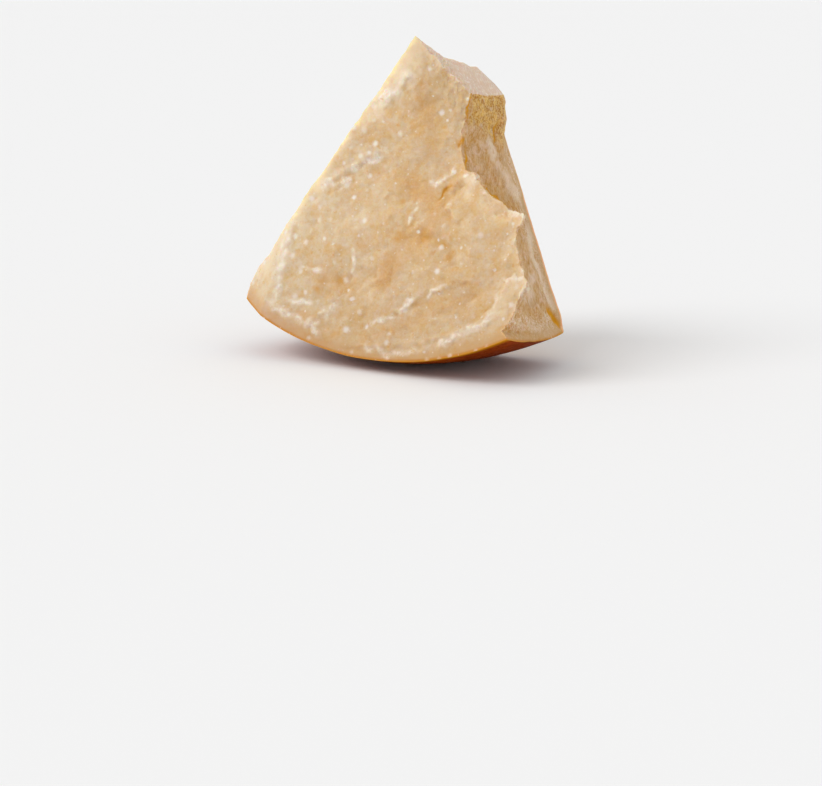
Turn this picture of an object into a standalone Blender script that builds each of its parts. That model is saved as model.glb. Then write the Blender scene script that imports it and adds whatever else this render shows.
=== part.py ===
"""A big chunk of hard grating cheese, broken from a wheel and standing on its curved rind.

The chunk is a wedge about 60 degrees wide and about half as thick as the wheel was high. Up to
the last step it is worked out in the wheel's own coordinates, in millimetres: X to the right,
Y from the broken front towards the flat rind at the back, Z up from the wheel's axis. A point
on a side of the wedge is also given by its reach, which is its distance from the axis measured
down that side, and by its depth Y.
"""

import itertools
import math

import bmesh
import bpy
import numpy as np

NODE = "cheese_chunk"
MILLIMETRE = 0.001

# The wheel that the chunk was broken from
WHEEL_RADIUS = 215.0
WHEEL_HEIGHT = 217.0
BARREL_SAG = 19.0
THICKNESS = 104.0
RIM_ROUND = 3.0
RIM_RADIUS = 196.0

# How the chunk stands, and how much of the rind is cut away where it rests
LEAN = math.radians(15.3)
REST_CUT = 1.0

# Directions of the two sides, measured round the wheel's axis from straight down
RIGHT_SIDE = math.radians(27.4)
LEFT_SIDE = math.radians(-32.5)

# Edges of the broken front: share of the way down or across, X, Y, Z
TOP_FRONT = [
    (0.00, -2.0, 0.0, 3.0),
    (0.45, 16.3, 8.0, -13.5),
    (1.00, 32.7, 22.0, -29.0),
]
LEFT_FRONT = [
    (0.00, -2.0, 0.0, 3.0),
    (0.04, -12.5, 2.0, -12.0),
    (0.09, -25.6, 3.0, -34.0),
    (0.20, -43.0, 3.0, -61.0),
    (0.28, -53.0, 3.0, -79.5),
    (0.40, -60.5, 3.0, -92.0),
    (0.55, -72.0, 3.0, -109.5),
    (0.66, -82.0, 3.0, -128.0),
    (0.80, -98.0, 3.0, -150.5),
    (0.87, -105.5, 3.0, -160.0),
    (0.94, -112.5, 2.0, -171.5),
    (1.00, -112.0, 1.0, -182.5),
]
RIGHT_FRONT = [
    (0.000, 32.7, 22.0, -29.0),
    (0.090, 32.7, 22.0, -47.3),
    (0.200, 35.4, 18.0, -68.9),
    (0.265, 41.5, 16.0, -81.0),
    (0.316, 50.6, 14.0, -84.6),
    (0.386, 60.7, 15.0, -94.0),
    (0.496, 80.0, 18.0, -105.0),
    (0.550, 91.5, 15.0, -108.2),
    (0.580, 89.0, 17.0, -114.0),
    (0.617, 86.0, 19.0, -119.6),
    (0.720, 92.5, 15.0, -139.5),
    (0.800, 101.2, 12.0, -152.9),
    (0.850, 98.7, 10.0, -162.5),
    (0.943, 96.0, 4.0, -181.1),
    (0.966, 94.1, 2.0, -185.4),
    (1.000, 98.9, 0.0, -190.5),
]

# Edges that run from the front to the back: share of the way, X, Y, Z
RIDGE = [
    (0.00, -2.0, 0.0, 3.0),
    (0.35, 0.5, 36.0, -2.0),
    (0.60, 0.5, 62.0, 0.5),
    (0.82, 0.5, 85.0, 3.0),
    (1.00, 0.0, THICKNESS, 0.0),
]
CHIP_EDGE = [
    (0.00, 32.7, 22.0, -29.0),
    (0.30, 33.0, 46.0, -25.0),
    (0.62, 31.5, 72.0, -18.5),
    (0.82, 24.5, 88.0, -17.0),
    (1.00, 13.7, THICKNESS, -10.7),
]

# Edges of the flat rind at the back: share, X, Z along the top, then share and reach down a side
TOP_BACK = [(0.00, 0.0, 0.0), (0.50, 6.0, -4.0), (1.00, 13.7, -10.7)]
RIGHT_BACK_TOP = [(0.00, 13.7, -10.7), (0.05, 20.7, -28.6)]
RIGHT_BACK = [(0.10, 44.0), (0.316, 92.0), (0.55, 131.0), (1.00, RIM_RADIUS)]
LEFT_BACK = [(0.00, 0.0), (0.28, 90.0), (0.55, 122.0), (1.00, RIM_RADIUS)]

# Where the front and the back meet the curved rind: angle in degrees, Y
FOOT_FRONT = [(-31.5, 1.0), (-24.0, 0.0), (-8.0, 1.5), (10.0, 0.0), (27.4, 0.0)]
FOOT_BACK = [(-32.5, THICKNESS), (27.4, THICKNESS)]

# The facet at the lower left of the front falls back from this line by this slope
FACET_LINE = [(-76.0, -122.0), (-84.0, -142.0), (-88.0, -166.0), (-92.0, -197.0)]
FACET_SLOPE = 0.4
FACET_BLEND = 10.0

# Scarps across the front, with the raised ground on their left: path in X and Z, height, reach
FRONT_SCARPS = [
    ([(-22, -46), (-9, -33), (-3, -20)], 1.8, 9.0),
    ([(-60, -99), (-44, -93), (-33, -83), (-16, -72)], 2.6, 14.0),
    ([(-45, -116), (-48, -104), (-42, -92)], 1.4, 9.0),
    ([(41, -80), (33, -92), (34, -108), (44, -118)], 2.8, 13.0),
    ([(3, -191), (18, -177), (30, -167), (52, -158), (74, -150)], 2.6, 17.0),
    ([(-53, -198), (-46, -191), (-36, -186)], 1.8, 8.0),
    ([(103, -153), (86, -150), (83, -160), (80, -172), (68, -183)], 2.2, 11.0),
    ([(-34, -208), (0, -207), (22, -203), (42, -198), (60, -192), (75, -184), (90, -176)], 1.8, 9.0),
]

# Scarps on the two sides, with the raised ground on their left: path in reach and Y
RIGHT_SCARPS = [
    ([(56, 30), (60, 60), (54, 84), (42, 100)], -2.4, 12.0),
    ([(181, 74), (184, 86), (192, 102)], 2.6, 7.0),
    ([(98, 40), (112, 62), (118, 92)], 1.5, 12.0),
]
LEFT_SCARPS = [
    ([(30, 20), (52, 42), (58, 80)], 2.4, 13.0),
    ([(84, 96), (92, 66), (110, 40), (118, 14)], 2.6, 16.0),
    ([(140, 12), (148, 38), (170, 60), (176, 92)], -2.8, 15.0),
    ([(196, 8), (186, 40), (184, 84)], 1.8, 8.0),
]

# Hollows in the front: X, Z, half length, half width, angle in degrees, depth
HOLLOWS = [
    (24, -130, 22, 6, -12, 3.2),
    (37, -97, 7, 3.5, 70, 3.4),
    (44, -140, 12, 5, -25, 2.0),
    (8, -40, 12, 6, 35, 1.6),
    (-38, -163, 17, 6, -15, 2.0),
    (-52, -72, 9, 5, 60, 2.0),
    (60, -166, 10, 5, 30, 1.8),
    (-8, -108, 16, 7, 15, 1.3),
]

# The flake on the right side: its upper and lower ends by reach, and how thick it is
FLAKE_REACH = (88.0, 206.0)
FLAKE_FRONT = 18.0
FLAKE_THICKNESS = 15.0
FLAKE_ENDS = 12.0

# Roughness of the broken paste: feature size and height, for crests and for plain noise
CRESTS = [(38.0, 1.2), (17.0, 0.6), (8.0, 0.3)]
SWELLS = [(80.0, 2.2), (12.0, 0.5), (4.5, 0.25)]
EDGE_WANDER = [(22.0, 0.7), (9.0, 0.5), (4.5, 0.35)]
SCARP_WIDTH = 1.6
SCARP_FOOT = 0.35
SCARP_WANDER = [(9.0, 2.4), (4.0, 1.0)]
RIND_DENTS = 0.35
RIND_DENT_SIZE = 26.0

# Where the relief is weaker: the share that is left, and the distances between which it grows
RIND_SHARE = 0.25
RIND_BAND = (2.0, 13.0)
APEX_SHARE = 0.4
APEX_REACH = (0.0, 30.0)

# Depths between which the relief of the front gives way to that of the sides, and for the sides
# how far inside their planes and how far down them their own relief starts
FRONT_FADE = (26.0, 58.0)
SIDE_DEPTH = (-34.0, -10.0)
SIDE_REACH = (14.0, 50.0)

# Starting numbers of the random relief
SCARP_SEED = 40
EDGE_SEED = 60
DENT_SEED = 80
FRONT_SEED = 100
RIGHT_SEED = 200
LEFT_SEED = 300
SWELL_SEED_STEP = 10

# How fine the surface is: steps across, down and back, then the triangles that are kept
GRID = (78, 100, 56)
TRIANGLES = 10400

PASTE_COLOUR = (0.70, 0.47, 0.25, 1.0)


def smoothstep(low, high, value):
    share = np.clip((value - low) / (high - low), 0, 1)
    return share * share * (3 - 2 * share)


def noise(points, size, seed):
    """Smooth noise between about -1 and 1, with bumps of the given size."""
    random = np.random.default_rng(seed)
    shuffled = random.permutation(256)
    gradients = random.normal(size=(256, 3))
    gradients /= np.linalg.norm(gradients, axis=1)[:, None]
    scaled = points / size
    cell = np.floor(scaled).astype(int)
    local = scaled - cell
    blend = local**3 * (local * (local * 6 - 15) + 10)
    total = np.zeros(len(points))
    for corner in itertools.product((0, 1), repeat=3):
        index = (cell + corner) % 256
        pick = shuffled[(shuffled[(shuffled[index[:, 0]] + index[:, 1]) % 256] + index[:, 2]) % 256]
        weight = np.prod(np.where(corner, blend, 1 - blend), axis=1)
        total += weight * np.sum(gradients[pick] * (local - corner), axis=1)
    return total * 1.5


def crests(points, size, seed):
    """Sharp crests with rounded hollows between them, about -1 to 1."""
    return 1 - 4 * np.abs(noise(points, size, seed))


def rind_radius(y):
    """The wheel bulges at half its height, which is where the front broke away."""
    half = WHEEL_HEIGHT / 2
    bulge = BARREL_SAG * ((y - THICKNESS + half) / half) ** 2
    past = np.clip(y - THICKNESS + RIM_ROUND, 0, RIM_ROUND)
    return WHEEL_RADIUS - bulge - RIM_ROUND + np.sqrt(RIM_ROUND**2 - past**2)


def on_rind(angle, y):
    radius = rind_radius(y)
    return np.stack([radius * np.sin(angle), y, -radius * np.cos(angle)], axis=-1)


def on_back_side(angle, keys):
    """Turns keys of share and reach into keys of share, X, Y and Z on the flat rind."""
    return [
        (share, reach * math.sin(angle), THICKNESS, -reach * math.cos(angle))
        for share, reach in keys
    ]


def on_back(keys):
    return [(share, x, THICKNESS, z) for share, x, z in keys]


def along(keys, count):
    """Points at even steps of the first value of each key."""
    table = np.array(keys, dtype=float)
    steps = np.linspace(0, 1, count + 1)
    return np.stack([np.interp(steps, table[:, 0], column) for column in table[:, 1:].T], axis=1)


def along_rind(keys, count):
    table = np.array(keys, dtype=float)
    angle = np.linspace(table[0, 0], table[-1, 0], count + 1)
    return np.stack([angle, np.interp(angle, table[:, 0], table[:, 1])], axis=1)


def patch(left, right, top, bottom):
    """A surface between four edges. Left and right run down, top and bottom run across."""
    down = np.linspace(0, 1, len(left))[:, None, None]
    across = np.linspace(0, 1, len(top))[None, :, None]
    sideways = (1 - across) * left[:, None] + across * right[:, None]
    lengthways = (1 - down) * top[None] + down * bottom[None]
    upper = (1 - across) * top[0] + across * top[-1]
    lower = (1 - across) * bottom[0] + across * bottom[-1]
    return sideways + lengthways - (1 - down) * upper - down * lower


def rind_patch(front, back, layers):
    """The curved rind between its front and back edges, which are given as angle and Y."""
    depth = np.linspace(0, 1, layers + 1)[:, None, None]
    surface = (1 - depth) * front[None] + depth * back[None]
    return on_rind(np.radians(surface[..., 0]), surface[..., 1])


def faces(columns, rows, layers):
    """The six faces of the chunk as grids of points that share their edges."""
    foot_front = along_rind(FOOT_FRONT, columns)
    foot_back = along_rind(FOOT_BACK, columns)
    rind = rind_patch(foot_front, foot_back, layers)
    left_front = along(LEFT_FRONT, rows)
    right_front = along(RIGHT_FRONT, rows)
    left_back = along(on_back_side(LEFT_SIDE, LEFT_BACK), rows)
    right_back = along(on_back(RIGHT_BACK_TOP) + on_back_side(RIGHT_SIDE, RIGHT_BACK), rows)
    for side, column in ((left_front, 0), (right_front, -1)):
        side[-1] = rind[0, column]
    for side, column in ((left_back, 0), (right_back, -1)):
        side[-1] = rind[-1, column]
    top_front = along(TOP_FRONT, columns)
    top_back = along(on_back(TOP_BACK), columns)
    ridge = along(RIDGE, layers)
    chip_edge = along(CHIP_EDGE, layers)
    return [
        patch(left_front, right_front, top_front, rind[0]),
        patch(left_back, right_back, top_back, rind[-1]),
        patch(left_front, left_back, ridge, rind[:, 0]),
        patch(right_front, right_back, chip_edge, rind[:, -1]),
        patch(ridge, chip_edge, top_front, top_back),
        rind,
    ]


def from_path(x, y, path):
    """Distance to a path, positive on its left, and the share of the way along it."""
    corners = np.array(path, dtype=float)
    steps = np.diff(corners, axis=0)
    lengths = np.hypot(steps[:, 0], steps[:, 1])
    starts = np.concatenate([[0], np.cumsum(lengths)[:-1]])
    nearest = np.full(len(x), np.inf)
    share = np.zeros(len(x))
    for corner, step, length, start in zip(corners, steps, lengths, starts):
        run = ((x - corner[0]) * step[0] + (y - corner[1]) * step[1]) / length
        held = np.clip(run, 0, length)
        away_x = x - corner[0] - held * step[0] / length
        away_y = y - corner[1] - held * step[1] / length
        distance = np.hypot(away_x, away_y)
        closer = distance < np.abs(nearest)
        left = np.sign(step[0] * away_y - step[1] * away_x)
        nearest = np.where(closer, distance * np.where(left < 0, -1, 1), nearest)
        share = np.where(closer, (start + run) / lengths.sum(), share)
    return nearest, share


def scarp(x, y, path, height, reach):
    """A step in the surface that dies away from its crest and towards its two ends."""
    side, share = from_path(x, y, path)
    step = smoothstep(-SCARP_WIDTH, SCARP_WIDTH, side)
    crest = step * np.exp(-np.maximum(side, 0) / reach)
    foot = (1 - step) * np.exp(np.minimum(side, 0) / reach * 2)
    ends = np.sqrt(np.sin(np.pi * np.clip(share, 0, 1)))
    return height * ends * (crest - SCARP_FOOT * foot)


def hollow(x, z, middle_x, middle_z, half_length, half_width, angle, depth):
    turn = math.radians(angle)
    lengthways = (x - middle_x) * math.cos(turn) + (z - middle_z) * math.sin(turn)
    sideways = (z - middle_z) * math.cos(turn) - (x - middle_x) * math.sin(turn)
    return -depth * np.exp(-((lengthways / half_length) ** 2) - (sideways / half_width) ** 2)


def to_side(points, angle):
    """Reach down a side and how far a point lies outside it, positive away from the chunk."""
    outward = 1 if angle > 0 else -1
    reach = points[:, 0] * math.sin(angle) - points[:, 2] * math.cos(angle)
    proud = outward * (points[:, 0] * math.cos(angle) + points[:, 2] * math.sin(angle))
    return reach, proud


def push_side(points, angle, amount):
    outward = 1 if angle > 0 else -1
    points[:, 0] += outward * amount * math.cos(angle)
    points[:, 2] += outward * amount * math.sin(angle)


def lower_left_facet(points):
    """Bends the lower left of the front back, out towards the curved rind."""
    side, _ = from_path(points[:, 0], points[:, 2], FACET_LINE)
    beyond = np.clip(-side, 0, None)
    below = smoothstep(FACET_LINE[0][1] + FACET_BLEND, FACET_LINE[1][1], points[:, 2])
    depth = 1 - points[:, 1] / THICKNESS
    points[:, 1] += FACET_SLOPE * beyond * below * depth


def tuck_behind_flake(points):
    """Lets the right side fall back to its plane a little way behind the flake's edge."""
    reach, proud = to_side(points, RIGHT_SIDE)
    upper, lower = FLAKE_REACH
    flake = smoothstep(upper, upper + FLAKE_ENDS, reach)
    flake *= 1 - smoothstep(lower - FLAKE_ENDS, lower, reach)
    behind = np.clip(points[:, 1] - FLAKE_FRONT, 0, None)
    tucked = np.maximum(proud, 0) * flake * (1 - np.exp(-behind / FLAKE_THICKNESS))
    push_side(points, RIGHT_SIDE, -tucked)


def roughness(points, seed):
    """Height of the broken paste: large swells, crests where flakes parted, fine grain."""
    total = np.zeros(len(points))
    for step, (size, height) in enumerate(CRESTS):
        total += height * crests(points, size, seed + step)
    for step, (size, height) in enumerate(SWELLS):
        total += height * noise(points, size, seed + SWELL_SEED_STEP + step)
    return total


def wander(points, sizes, seed):
    """A push in all three directions that wanders from place to place."""
    push = np.zeros_like(points)
    for step, (size, height) in enumerate(sizes):
        for axis in range(3):
            push[:, axis] += height * noise(points, size, seed + 3 * step + axis)
    return push


def break_surface(points):
    """Breaks the smooth wedge: the same push for the same place, so the faces stay joined."""
    radius = np.hypot(points[:, 0], points[:, 2])
    under_rind = np.minimum(rind_radius(points[:, 1]) - radius, THICKNESS - points[:, 1])
    paste = RIND_SHARE + (1 - RIND_SHARE) * smoothstep(*RIND_BAND, under_rind)
    strayed = points + wander(points, SCARP_WANDER, SCARP_SEED)
    x, y, z = strayed.T
    front = 1 - smoothstep(*FRONT_FADE, points[:, 1])
    height = roughness(points, FRONT_SEED) * paste
    height += sum(scarp(x, z, *values) for values in FRONT_SCARPS)
    height += sum(hollow(x, z, *values) for values in HOLLOWS)
    from_apex = APEX_SHARE + (1 - APEX_SHARE) * smoothstep(*APEX_REACH, radius)
    points[:, 1] -= front * height * from_apex
    sides = ((RIGHT_SIDE, RIGHT_SCARPS, RIGHT_SEED), (LEFT_SIDE, LEFT_SCARPS, LEFT_SEED))
    for angle, scarps, seed in sides:
        reach, proud = to_side(strayed, angle)
        near = smoothstep(*SIDE_DEPTH, proud) * smoothstep(*SIDE_REACH, reach)
        height = roughness(points, seed) * paste
        height += sum(scarp(reach, y, *values) for values in scarps)
        push_side(points, angle, near * height)
    points += wander(points, EDGE_WANDER, EDGE_SEED) * paste[:, None]


def hold_rinds(points, on_curve, on_flat):
    """Puts the rinds back on the wheel, and keeps the paste inside it."""
    points[:, 1] = np.where(on_flat, THICKNESS, np.minimum(points[:, 1], THICKNESS))
    radius = np.hypot(points[:, 0], points[:, 2])
    allowed = rind_radius(points[:, 1])
    allowed += RIND_DENTS * (noise(points, RIND_DENT_SIZE, DENT_SEED) - 0.5) * on_curve
    scale = np.where(on_curve | (radius > allowed), allowed / np.maximum(radius, 1), 1)
    points[:, 0] *= scale
    points[:, 2] *= scale


def chunk_mesh():
    """The chunk in wheel coordinates as one closed bmesh, in millimetres."""
    mesh = bmesh.new()
    for grid in faces(*GRID):
        rows, columns, _ = grid.shape
        verts = [mesh.verts.new(point) for point in grid.reshape(-1, 3)]
        for row, column in itertools.product(range(rows - 1), range(columns - 1)):
            first = row * columns + column
            corners = (first, first + 1, first + columns + 1, first + columns)
            mesh.faces.new([verts[corner] for corner in corners])
    bmesh.ops.remove_doubles(mesh, verts=mesh.verts, dist=0.001)
    points = np.array([vert.co for vert in mesh.verts])
    radius = np.hypot(points[:, 0], points[:, 2])
    on_curve = radius > rind_radius(points[:, 1]) - 0.01
    on_flat = points[:, 1] > THICKNESS - 0.01
    lower_left_facet(points)
    tuck_behind_flake(points)
    break_surface(points)
    hold_rinds(points, on_curve, on_flat)
    for vert, point in zip(mesh.verts, points):
        vert.co = point
    bmesh.ops.triangulate(mesh, faces=mesh.faces)
    bmesh.ops.recalc_face_normals(mesh, faces=mesh.faces)
    return mesh


def thin_out(source):
    """Keeps the triangles where the surface bends, and joins them where it is smooth."""
    helper = bpy.data.objects.new("helper", source)
    bpy.context.scene.collection.objects.link(helper)
    fewer = helper.modifiers.new("fewer", "DECIMATE")
    fewer.ratio = TRIANGLES / len(source.polygons)
    bpy.context.view_layer.update()
    evaluated = helper.evaluated_get(bpy.context.evaluated_depsgraph_get())
    thinned = bmesh.new()
    thinned.from_mesh(evaluated.data)
    bpy.data.objects.remove(helper)
    return thinned


def stand(mesh):
    """Leans the chunk back, cuts a small flat where it rests, and puts that flat on the floor."""
    cosine, sine = math.cos(LEAN), math.sin(LEAN)
    for vert in mesh.verts:
        x, y, z = vert.co
        vert.co = (x, y * cosine + z * sine, z * cosine - y * sine)
    floor = min(vert.co.z for vert in mesh.verts) + REST_CUT
    everything = list(mesh.verts) + list(mesh.edges) + list(mesh.faces)
    bmesh.ops.bisect_plane(
        mesh, geom=everything, plane_co=(0, 0, floor), plane_no=(0, 0, 1), clear_inner=True
    )
    rim = [edge for edge in mesh.edges if edge.is_boundary]
    bmesh.ops.contextual_create(mesh, geom=rim)
    xs, ys = ([vert.co[axis] for vert in mesh.verts] for axis in (0, 1))
    middle = ((min(xs) + max(xs)) / 2, (min(ys) + max(ys)) / 2, floor)
    bmesh.ops.translate(mesh, verts=mesh.verts, vec=[-value for value in middle])
    bmesh.ops.scale(mesh, verts=mesh.verts, vec=[MILLIMETRE] * 3)
    bmesh.ops.recalc_face_normals(mesh, faces=mesh.faces)


def material(name, colour, roughness_value):
    made = bpy.data.materials.new(name)
    made.use_nodes = True
    shader = made.node_tree.nodes["Principled BSDF"]
    shader.inputs["Base Color"].default_value = colour
    shader.inputs["Roughness"].default_value = roughness_value
    shader.inputs["Metallic"].default_value = 0.0
    return made


def main():
    for obj in list(bpy.data.objects):
        bpy.data.objects.remove(obj)
    fine = bpy.data.meshes.new("fine_chunk")
    chunk_mesh().to_mesh(fine)
    mesh = thin_out(fine)
    bpy.data.meshes.remove(fine)
    stand(mesh)
    data = bpy.data.meshes.new(NODE)
    mesh.to_mesh(data)
    data.materials.append(material("cheese_paste", PASTE_COLOUR, 0.6))
    chunk = bpy.data.objects.new(NODE, data)
    bpy.context.scene.collection.objects.link(chunk)


main()
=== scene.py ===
"""The looks of the cheese chunk: rough broken paste with white crystals, and its rind.

The chunk's shape is worked out again from the same named sizes as the solid, only finer. Up to
the last step it is in the wheel's own coordinates, in millimetres: X to the right, Y from the
broken front towards the flat rind at the back, Z up from the wheel's axis. A point on a side of
the wedge is also given by its reach, its distance from the axis measured down that side.
"""

import itertools
import math

import bmesh
import bpy
import numpy as np
from mathutils import Matrix, Vector


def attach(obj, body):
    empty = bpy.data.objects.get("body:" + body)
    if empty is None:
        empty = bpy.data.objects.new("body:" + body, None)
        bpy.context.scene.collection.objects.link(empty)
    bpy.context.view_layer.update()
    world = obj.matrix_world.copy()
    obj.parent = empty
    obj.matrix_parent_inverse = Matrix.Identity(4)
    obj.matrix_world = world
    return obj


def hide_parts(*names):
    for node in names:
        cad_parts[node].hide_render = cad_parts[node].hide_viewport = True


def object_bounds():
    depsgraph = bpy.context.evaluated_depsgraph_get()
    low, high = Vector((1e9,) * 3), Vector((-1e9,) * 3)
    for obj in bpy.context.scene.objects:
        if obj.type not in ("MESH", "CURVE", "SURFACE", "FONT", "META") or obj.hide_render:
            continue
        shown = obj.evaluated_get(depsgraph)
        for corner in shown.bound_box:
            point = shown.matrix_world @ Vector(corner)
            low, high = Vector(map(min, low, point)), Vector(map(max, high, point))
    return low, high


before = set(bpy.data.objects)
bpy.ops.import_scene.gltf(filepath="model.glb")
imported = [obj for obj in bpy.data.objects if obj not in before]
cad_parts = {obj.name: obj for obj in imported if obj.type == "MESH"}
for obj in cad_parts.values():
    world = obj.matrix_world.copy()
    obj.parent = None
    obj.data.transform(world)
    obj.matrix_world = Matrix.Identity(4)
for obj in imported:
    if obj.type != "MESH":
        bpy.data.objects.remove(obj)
cad_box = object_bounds()

MILLIMETRE = 0.001

# The wheel that the chunk was broken from
WHEEL_RADIUS = 215.0
WHEEL_HEIGHT = 217.0
BARREL_SAG = 19.0
THICKNESS = 104.0
RIM_ROUND = 3.0
RIM_RADIUS = 196.0

# How the chunk stands, and how much of the rind is flat where it rests
LEAN = math.radians(15.3)
REST_CUT = 1.0

# Directions of the two sides, measured round the wheel's axis from straight down
RIGHT_SIDE = math.radians(27.4)
LEFT_SIDE = math.radians(-32.5)

# Edges of the broken front: share of the way down or across, X, Y, Z
TOP_FRONT = [
    (0.00, -2.0, 0.0, 3.0),
    (0.45, 16.3, 8.0, -13.5),
    (1.00, 32.7, 22.0, -29.0),
]
LEFT_FRONT = [
    (0.00, -2.0, 0.0, 3.0),
    (0.04, -12.5, 2.0, -12.0),
    (0.09, -25.6, 3.0, -34.0),
    (0.20, -43.0, 3.0, -61.0),
    (0.28, -53.0, 3.0, -79.5),
    (0.40, -60.5, 3.0, -92.0),
    (0.55, -72.0, 3.0, -109.5),
    (0.66, -82.0, 3.0, -128.0),
    (0.80, -98.0, 3.0, -150.5),
    (0.87, -105.5, 3.0, -160.0),
    (0.94, -112.5, 2.0, -171.5),
    (1.00, -112.0, 1.0, -182.5),
]
RIGHT_FRONT = [
    (0.000, 32.7, 22.0, -29.0),
    (0.090, 32.7, 22.0, -47.3),
    (0.200, 35.4, 18.0, -68.9),
    (0.265, 41.5, 16.0, -81.0),
    (0.316, 50.6, 14.0, -84.6),
    (0.386, 60.7, 15.0, -94.0),
    (0.496, 80.0, 18.0, -105.0),
    (0.550, 91.5, 15.0, -108.2),
    (0.580, 89.0, 15.0, -114.0),
    (0.617, 86.0, 15.5, -119.6),
    (0.720, 92.5, 15.0, -139.5),
    (0.800, 101.2, 12.0, -152.9),
    (0.850, 98.7, 10.0, -162.5),
    (0.943, 96.0, 4.0, -181.1),
    (0.966, 94.1, 2.0, -185.4),
    (1.000, 98.9, 0.0, -190.5),
]

# The notches of the right edge stop short of the middle of the front: share of the way down, Y
# that the front heads for, then the share of the way across where the edge's own Y takes over
FRONT_HEADING = [(0.0, 22.0), (0.2, 18.0), (0.4, 15.5), (0.72, 14.5), (0.85, 9.5), (1.0, 0.0)]
EDGE_TAKES_OVER = (0.88, 0.99)

# Edges that run from the front to the back: share of the way, X, Y, Z
RIDGE = [
    (0.00, -2.0, 0.0, 3.0),
    (0.35, 0.5, 36.0, -2.0),
    (0.60, 0.5, 62.0, 0.5),
    (0.82, 0.5, 85.0, 3.0),
    (1.00, 0.0, THICKNESS, 0.0),
]
CHIP_EDGE = [
    (0.00, 32.7, 22.0, -29.0),
    (0.30, 33.0, 46.0, -25.0),
    (0.62, 31.5, 72.0, -18.5),
    (0.82, 24.5, 88.0, -17.0),
    (1.00, 13.7, THICKNESS, -10.7),
]

# Edges of the flat rind at the back: share, X, Z along the top, then share and reach down a side
TOP_BACK = [(0.00, 0.0, 0.0), (0.50, 6.0, -4.0), (1.00, 13.7, -10.7)]
RIGHT_BACK_TOP = [(0.00, 13.7, -10.7), (0.05, 20.7, -28.6)]
RIGHT_BACK = [(0.10, 44.0), (0.316, 92.0), (0.55, 131.0), (1.00, RIM_RADIUS)]
LEFT_BACK = [(0.00, 0.0), (0.28, 90.0), (0.55, 122.0), (1.00, RIM_RADIUS)]

# Where the front and the back meet the curved rind: angle in degrees, Y
FOOT_FRONT = [(-31.5, 1.0), (-24.0, 0.0), (-8.0, 1.5), (10.0, 0.0), (27.4, 0.0)]
FOOT_BACK = [(-32.5, THICKNESS), (27.4, THICKNESS)]

# The facet at the lower left of the front falls back from this line by this slope
FACET_LINE = [(-76.0, -122.0), (-84.0, -142.0), (-88.0, -166.0), (-92.0, -197.0)]
FACET_SLOPE = 0.4

# Scarps across the front, with the raised ground on their left: path in X and Z, height, reach
FRONT_SCARPS = [
    ([(-22, -46), (-9, -33), (-3, -20)], 1.8, 9.0),
    ([(-60, -99), (-44, -93), (-33, -83), (-16, -72)], 2.6, 14.0),
    ([(-45, -116), (-48, -104), (-42, -92)], 1.4, 9.0),
    ([(41, -80), (33, -92), (34, -108), (44, -118)], 2.8, 13.0),
    (
        [(3, -191), (11, -181), (22, -176), (31, -166), (42, -165), (53, -156), (63, -157), (74, -150)],
        2.0,
        17.0,
    ),
    ([(-53, -198), (-46, -191), (-36, -186)], 1.8, 8.0),
    ([(103, -153), (86, -150), (83, -160), (80, -172), (68, -183)], 2.2, 11.0),
    ([(-34, -208), (0, -207), (22, -203), (42, -198), (60, -192), (75, -184), (90, -176)], 1.8, 9.0),
]

# Scarps on the two sides, with the raised ground on their left: path in reach and Y
RIGHT_SCARPS = [
    ([(56, 30), (60, 60), (54, 84), (42, 100)], -2.4, 12.0),
    ([(181, 74), (184, 86), (192, 102)], 2.6, 7.0),
    ([(98, 40), (112, 62), (118, 92)], 1.5, 12.0),
]
LEFT_SCARPS = [
    ([(30, 20), (52, 42), (58, 80)], 2.4, 13.0),
    ([(84, 96), (92, 66), (110, 40), (118, 14)], 2.6, 16.0),
    ([(140, 12), (148, 38), (170, 60), (176, 92)], -2.8, 15.0),
    ([(196, 8), (186, 40), (184, 84)], 1.8, 8.0),
]

# Hollows in the front: X, Z, half length, half width, angle in degrees, depth
HOLLOWS = [
    (24, -130, 22, 6, -12, 3.2),
    (37, -97, 7, 3.5, 70, 3.4),
    (44, -140, 12, 5, -25, 2.0),
    (8, -40, 12, 6, 35, 1.6),
    (-38, -163, 17, 6, -15, 2.0),
    (-52, -72, 9, 5, 60, 2.0),
    (60, -166, 10, 5, 30, 1.8),
    (-8, -108, 16, 7, 15, 1.3),
]

# Where the front is smooth: X, Z, radius, and how much of the relief goes
SMOOTH_PLATES = [(62, -109, 24), (0, -62, 16)]
SMOOTH_SHARE = 0.6

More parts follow.
